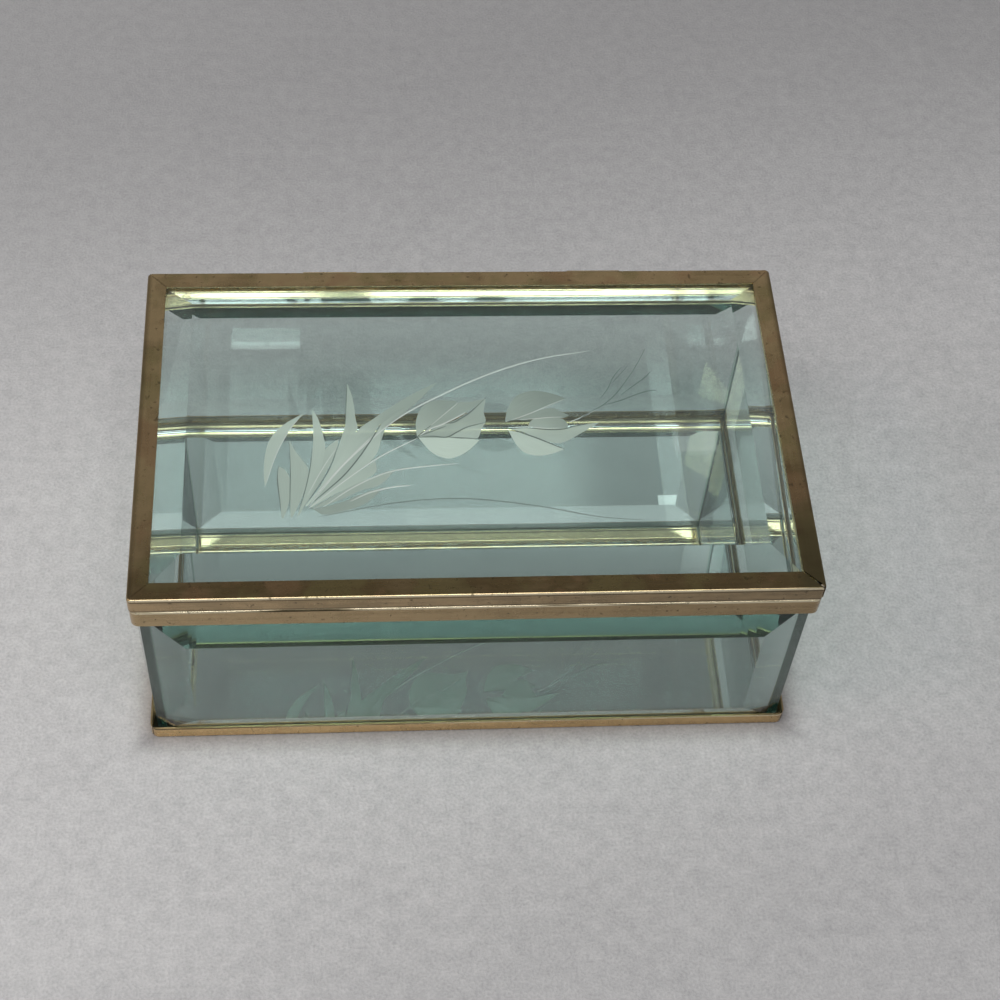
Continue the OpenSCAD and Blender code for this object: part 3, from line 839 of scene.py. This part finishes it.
def ground():
    """The pale floor, a flat square at the level of the box's underside."""
    half = FLOOR_HALF
    corners = [(-half, -half, 0), (half, -half, 0), (half, half, 0), (-half, half, 0)]
    mesh = bpy.data.meshes.new("ground")
    mesh.from_pydata(corners, [], [(0, 1, 2, 3)])
    mesh.materials.append(floor_cloth())
    made = bpy.data.objects.new("ground", mesh)
    bpy.context.scene.collection.objects.link(made)


# The name, place, point it faces, size, power and colour of each lamp
WHITE = (1, 1, 1)
LAMPS = (
    ("overhead", (-0.2, -0.47, 1.3), (-0.2, -0.47, 0), (1.1, 0.5), 11.5, WHITE),
    ("side", (-1.3, -0.1, 0.9), (0, 0, 0), (0.7, 0.7), 7.5, WHITE),
    ("strip_lamp", (-0.172, -1.106, 1.3), (-0.172, -1.106, 0), (0.158, 0.043), 0.1, WHITE),
    ("warm_lamp", (-0.97, -0.32, 1.3), (-0.97, -0.32, 0), (0.26, 0.26), 1.2, (1.0, 0.8, 0.5)),
    ("back_lamp", (0.33, 0.945, 1.3), (0.33, 0.945, 0), (0.046, 0.038), 0.0045, WHITE),
)


def softbox(name, place, aim, size, power, colour):
    """A rectangular lamp at a place, facing a point."""
    lamp = bpy.data.lights.new(name, "AREA")
    lamp.shape = "RECTANGLE"
    lamp.size, lamp.size_y = size
    lamp.energy = power
    lamp.color = colour
    made = bpy.data.objects.new(name, lamp)
    made.location = place
    made.rotation_euler = (Vector(aim) - Vector(place)).to_track_quat("-Z", "Y").to_euler()
    bpy.context.scene.collection.objects.link(made)


def studio_world():
    """A pale surround, read as the slopes u = x / z and v = y / z. In front it is even. At the back it
    is dark about v = 0.5, pale at 0.8, a little darker from 0.92, and brightest from 1.12 to 1.22.
    A wide window glows in front between v = -0.82 and v = -0.6, and is dim past u = 0.17."""
    world = bpy.data.worlds.new("studio")
    bpy.context.scene.world = world
    g = Graph(world)
    way = g.node("ShaderNodeTexCoord", output="Generated")
    x, y, z = g.axes(way)
    u, v = x / z.most(0.02), y / z.most(0.02)
    level = g.step(v, 0.52, 0.8, 0.1, 0.4) - g.step(v, 0.86, 0.92, 0.0, 0.09)
    level = level + g.step(v, 1.02, 1.12) * g.step(v, 1.22, 1.35, 0.34, 0.0)
    level = g.step(v, -0.2, 0.4, 0.36, 0.0) + level * g.step(v, -0.2, 0.4)
    level = level * g.step(z, -0.1, 0.1, 0.8, 1.0)
    glow = g.step(v, -0.85, -0.79) * g.step(v, -0.63, -0.57, 1.0, 0.0)
    glow = glow * g.step(u, -0.42, -0.3) * g.step(u, -0.1, 0.06, 0.7, 1.0)
    level = level + glow * g.step(u, 0.12, 0.17, 1.0, 0.05) * g.step(u, 0.45, 0.6, 2.45, 0.0)
    seen = g.node("ShaderNodeLightPath", output="Is Camera Ray")
    strength = level * (1 - seen) + seen * 0.6
    shader = g.node("ShaderNodeBackground", None, {"Color": rgb(0.98, 0.99, 1.0), "Strength": strength})
    g.end("ShaderNodeOutputWorld", {"Surface": shader})


def camera():
    """Stands the camera where the photograph was taken, by azimuth, elevation and roll."""
    a, e, r = (math.radians(x) for x in (CAMERA_AZIMUTH, CAMERA_ELEVATION, CAMERA_ROLL))
    back = Vector((math.sin(a) * math.cos(e), -math.cos(a) * math.cos(e), math.sin(e)))
    right = (-back).cross(Vector((0, 0, 1))).normalized()
    up = right.cross(-back)
    right, up = right * math.cos(r) + up * math.sin(r), up * math.cos(r) - right * math.sin(r)
    lens = bpy.data.cameras.new("camera")
    lens.lens = LENS_MM
    lens.sensor_width = SENSOR_MM
    lens.clip_start = 0.01
    made = bpy.data.objects.new("camera", lens)
    turn = Matrix((right, up, back)).transposed().to_4x4()
    made.matrix_world = Matrix.Translation(CAMERA_PLACE) @ turn
    bpy.context.scene.collection.objects.link(made)
    bpy.context.scene.camera = made


mirror_plate()
lid_cutting()
ground()
studio_world()
for lamp in LAMPS:
    softbox(*lamp)
camera()

scene = bpy.context.scene
scene.view_settings.view_transform = "Standard"
scene.cycles.max_bounces = 40
scene.cycles.transmission_bounces = 40
scene.cycles.glossy_bounces = 16
scene.cycles.transparent_max_bounces = 40
